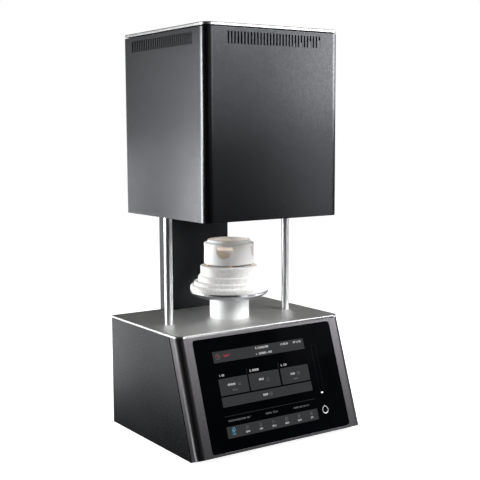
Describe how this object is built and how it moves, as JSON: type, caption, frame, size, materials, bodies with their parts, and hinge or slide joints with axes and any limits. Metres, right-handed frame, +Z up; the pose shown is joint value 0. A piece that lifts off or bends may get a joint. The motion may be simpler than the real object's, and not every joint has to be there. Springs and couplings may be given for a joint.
{
  "type": "dental sintering furnace",
  "caption": "Bench-top sintering furnace: a lift column carries a stepped insulated hearth and a windowed sinter cup from a base with sloping touch glass up into the furnace head.",
  "frame": {"origin": "on the table at the underside of the feet, in the middle of the outline seen from above", "axes": "+Z up, +Y to the rear, +X to the right seen from the front"},
  "size_m": [0.385, 0.34, 0.7972],
  "materials": {
    "head_anodised": "dark satin powder coat, fine texture",
    "side_panel_coat": "dark satin powder coat",
    "column_coat": "black satin coat",
    "front_frame_finish": "brown-grey anodised, brushed",
    "satin_aluminium": "glass-bead satin, bright chamfer",
    "black_glass": "glossy black printed glass",
    "polished_steel": "polished bar",
    "ground_steel": "ground",
    "column_aluminium": "bright satin tube",
    "dish_steel": "spun and polished",
    "fibre_insulation": "white vacuum-formed fibre board",
    "alumina": "yellowish sintered alumina",
    "alumina_white": "white sintered alumina",
    "alumina_beige": "beige fired alumina",
    "element_glaze": "dark glazed element rod",
    "holder_ceramic": "steatite",
    "zinc_plated": "zinc-plated sheet and fasteners",
    "black_screw": "black oxide screws",
    "machined_aluminium": "machined plate",
    "bronze": "turned bronze",
    "bearing_steel": "ground bearing steel",
    "belt_rubber": "black toothed belt",
    "foot_rubber": "black rubber",
    "motor_body": "black motor case",
    "black_plastic": "black moulded",
    "rocker_plastic": "black moulded rocker",
    "socket_shell": "tinned shell",
    "light_guide": "smoked light guide",
    "circuit_board": "green solder mask",
    "psu_case": "perforated case",
    "winding": "varnished tape-wound toroid"
  },
  "bodies": {
    "housing": {"appliance_inlet": "black_plastic", "base_bottom_plate": "zinc_plated", "base_front_frame": "front_frame_finish", "base_rear_panel": "side_panel_coat", "base_side_panel_left": "side_panel_coat", "base_side_panel_right": "side_panel_coat", "base_top_plate": "satin_aluminium", "control_glass": "black_glass", "cross_beam": "machined_aluminium", "data_sockets": "socket_shell", "display_bracket": "zinc_plated", "display_module": "black_plastic", "drive_belt": "belt_rubber", "element_holders": "holder_ceramic", "element_straps": "machined_aluminium", "fan_frame": "black_plastic", "fan_guard": "black_screw", "feet": "foot_rubber", "guide_rods": "ground_steel", "head_cover": "head_anodised", "head_floor_plate": "zinc_plated", "head_lid": "column_coat", "head_top_plate": "satin_aluminium", "heating_elements": "element_glaze", "insulation_chamber_wall": "fibre_insulation", "insulation_mouth_ring": "fibre_insulation", "insulation_roof": "fibre_insulation", "lift_base_plate": "machined_aluminium", "lift_motor": "motor_body", "main_board": "circuit_board", "mains_switch_frame": "black_plastic", "motor_bracket": "zinc_plated", "muffle_can": "zinc_plated", "pan_head_screws": "black_screw", "post_nuts": "zinc_plated", "posts": "polished_steel", "power_controller": "machined_aluminium", "power_supply": "psu_case", "rear_column": "column_coat", "screw_bearing": "bearing_steel", "status_light_bar": "light_guide", "support_legs": "zinc_plated", "thermocouple": "holder_ceramic", "top_spacers": "black_screw", "toroid_transformer": "winding", "touch_key_board": "circuit_board"},
    "lift": {"lift_carriage": "machined_aluminium", "lift_nut": "bronze", "linear_bushings": "bearing_steel", "lift_column": "column_aluminium", "plug_dish": "dish_steel", "insulation_plug": "fibre_insulation", "alumina_pins": "alumina"},
    "cup": {"sinter_cup": "alumina_white"},
    "dish": {"sinter_dish": "alumina_beige"},
    "screw": {"lead_screw": "ground_steel", "screw_pulley": "machined_aluminium"},
    "motor_rotor": {"motor_shaft_pulley": "machined_aluminium"},
    "fan_rotor": {"fan_impeller": "black_plastic"},
    "rocker": {"mains_rocker": "rocker_plastic"}
  },
  "joints": [
    {"name": "lift_travel", "type": "slide", "parent": "housing", "child": "lift", "axis": [0, 0, 1], "range_m": [0, 0.1625]},
    {"name": "screw_turn", "type": "hinge", "parent": "housing", "child": "screw", "pos_m": [0, 0.02016, 0.1], "axis": [0, 0, 1], "range_deg": [-11700, 0]},
    {"name": "motor_turn", "type": "hinge", "parent": "housing", "child": "motor_rotor", "pos_m": [0, 0.09816, 0.03], "axis": [0, 0, 1], "range_deg": [-11700, 0]},
    {"name": "cup_lift", "type": "slide", "parent": "lift", "child": "cup", "axis": [0, 0, 1], "range_m": [0, 0.02]},
    {"name": "dish_lift", "type": "slide", "parent": "cup", "child": "dish", "axis": [0, 0, 1], "range_m": [0, 0.02]},
    {"name": "fan_turn", "type": "hinge", "parent": "housing", "child": "fan_rotor", "pos_m": [0.112, 0.14866, 0.112], "axis": [0, 1, 0], "continuous": true},
    {"name": "rocker_tilt", "type": "hinge", "parent": "housing", "child": "rocker", "pos_m": [-0.078, 0.15876, 0.046], "axis": [1, 0, 0], "range_deg": [0, 18]}
  ],
  "couplings": [
    {"joint": "screw_turn", "follows": "lift_travel", "rad_per_m": -1256.6},
    {"joint": "motor_turn", "follows": "lift_travel", "rad_per_m": -1256.6}
  ]
}
